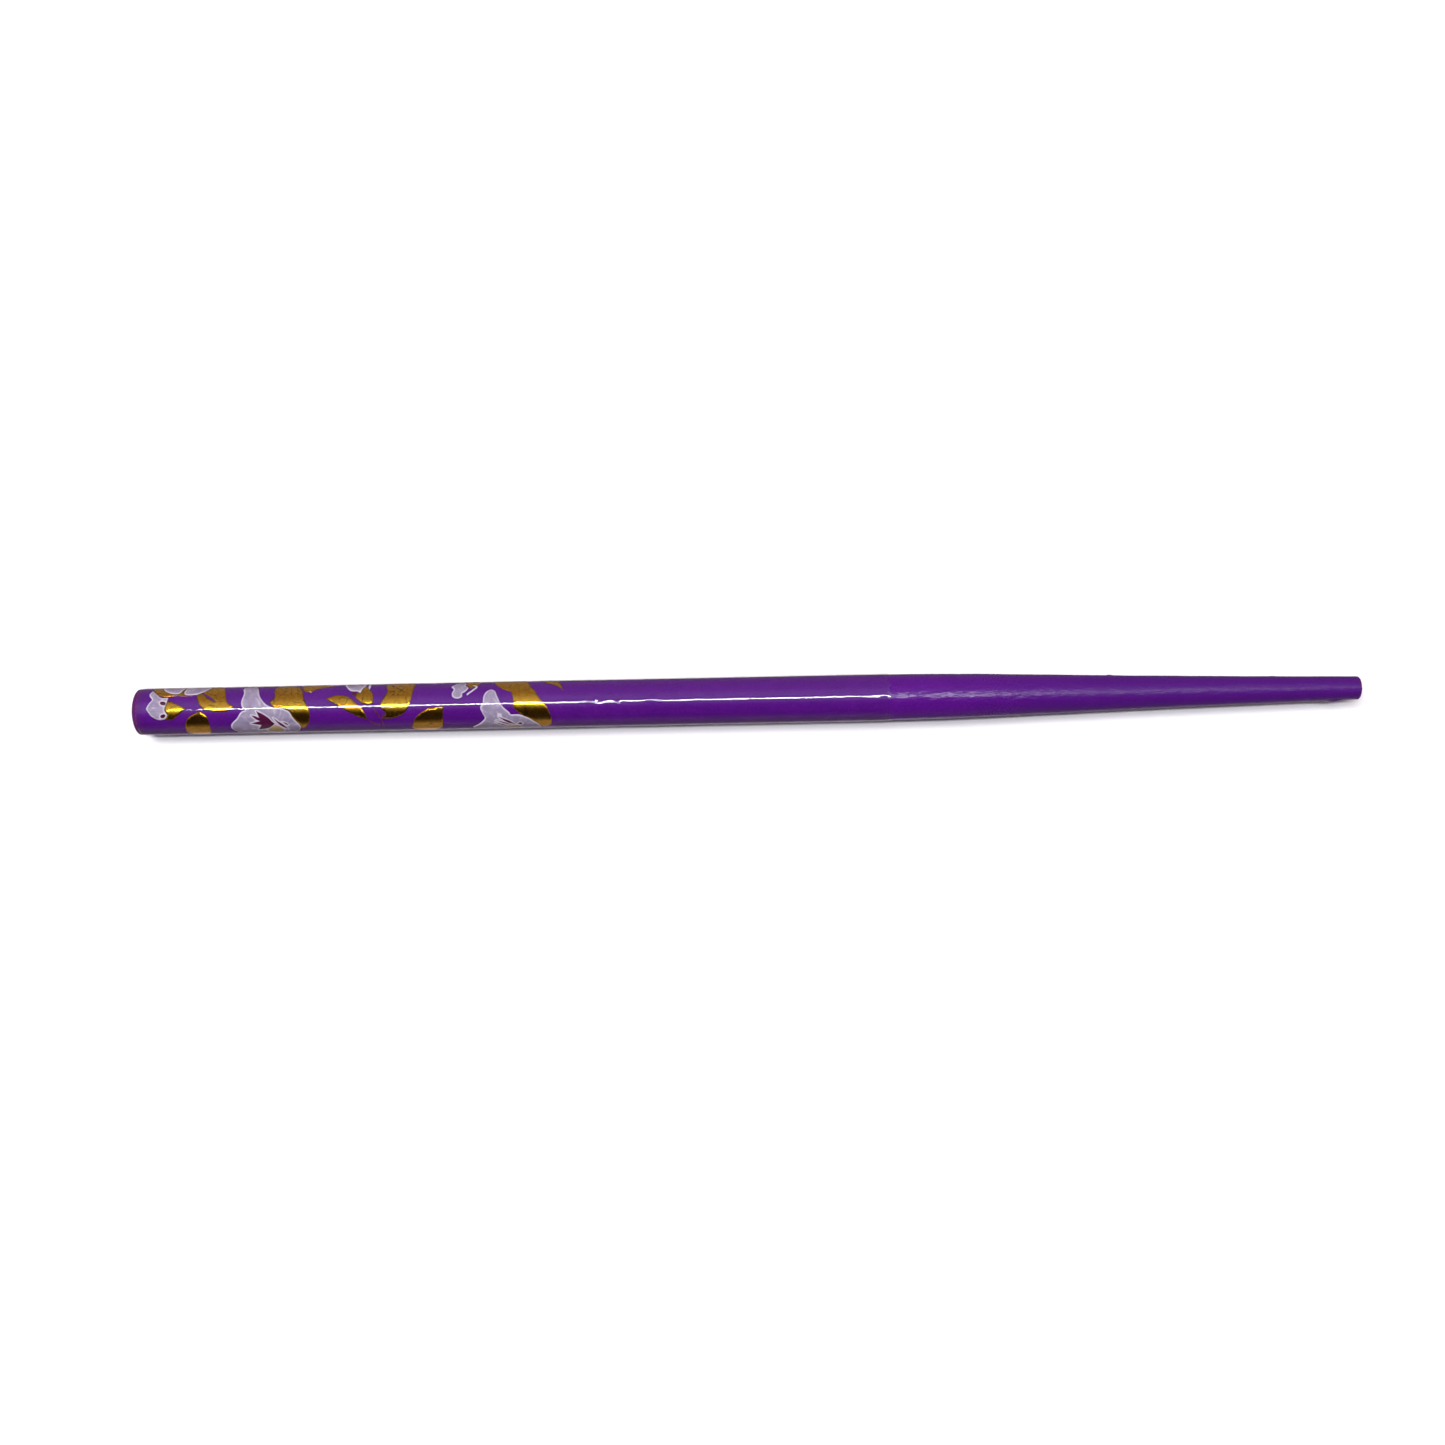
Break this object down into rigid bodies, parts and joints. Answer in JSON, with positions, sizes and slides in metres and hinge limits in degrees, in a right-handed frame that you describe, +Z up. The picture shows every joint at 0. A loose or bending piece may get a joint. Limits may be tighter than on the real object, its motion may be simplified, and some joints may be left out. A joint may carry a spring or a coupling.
{
  "type": "hair stick",
  "caption": "Lacquered wooden hair stick with a straight shaft, a tapered flat-tipped end and a gold and white floral print under clear film.",
  "frame": {"origin": "on the surface that the stick lies on, under the middle of its length and the axis of the shaft", "axes": "+X along the stick from the blunt end to the tip, +Z up, +Y to the side that is away from the viewer in the reference view"},
  "size_m": [0.18, 0.007, 0.007],
  "materials": {
    "wood": "fine sanded, sealed inside the lacquer",
    "lacquer": "satin purple lacquer with fine brush and spray texture",
    "film": "clear, high gloss",
    "gold_foil": "hot-stamping foil: a vapour-thin aluminium layer under a gold tint, mirror bright",
    "white_ink": "translucent lavender-white printed ink",
    "dark_ink": "maroon printed ink",
    "tan_ink": "tan printed ink"
  },
  "bodies": {
    "root": {"wood_core": "wood", "lacquer_coat": "lacquer", "clear_film": "film", "bud_1_petals": "white_ink", "bud_1_spots": "dark_ink", "bud_1_calyx": "gold_foil", "bud_2_petals": "white_ink", "bud_2_spot": "dark_ink", "bud_2_calyx": "gold_foil", "bud_3_petals": "white_ink", "bud_3_calyx": "gold_foil", "bud_4_petals": "white_ink", "bud_4_calyx": "gold_foil", "blossom_1_petals": "white_ink", "blossom_1_veins": "dark_ink", "blossom_1_heart": "tan_ink", "blossom_2_petals": "white_ink", "blossom_2_veins": "dark_ink", "blossom_2_heart": "tan_ink", "blossom_3_petals": "white_ink", "blossom_3_veins": "dark_ink", "blossom_3_heart": "tan_ink", "stem_1": "dark_ink", "stem_2": "dark_ink", "gold_leaf_1": "gold_foil", "gold_leaf_2": "gold_foil", "gold_leaf_3": "gold_foil", "gold_leaf_4": "gold_foil", "gold_leaf_5": "gold_foil", "gold_leaf_6": "gold_foil", "gold_leaf_7": "gold_foil", "gold_leaf_8": "gold_foil", "gold_leaf_9": "gold_foil", "gold_leaf_10": "gold_foil", "gold_leaf_11": "gold_foil", "gold_leaf_12": "gold_foil", "gold_leaf_13": "gold_foil", "gold_leaf_14": "gold_foil", "gold_leaf_15": "gold_foil"}
  },
  "joints": []
}
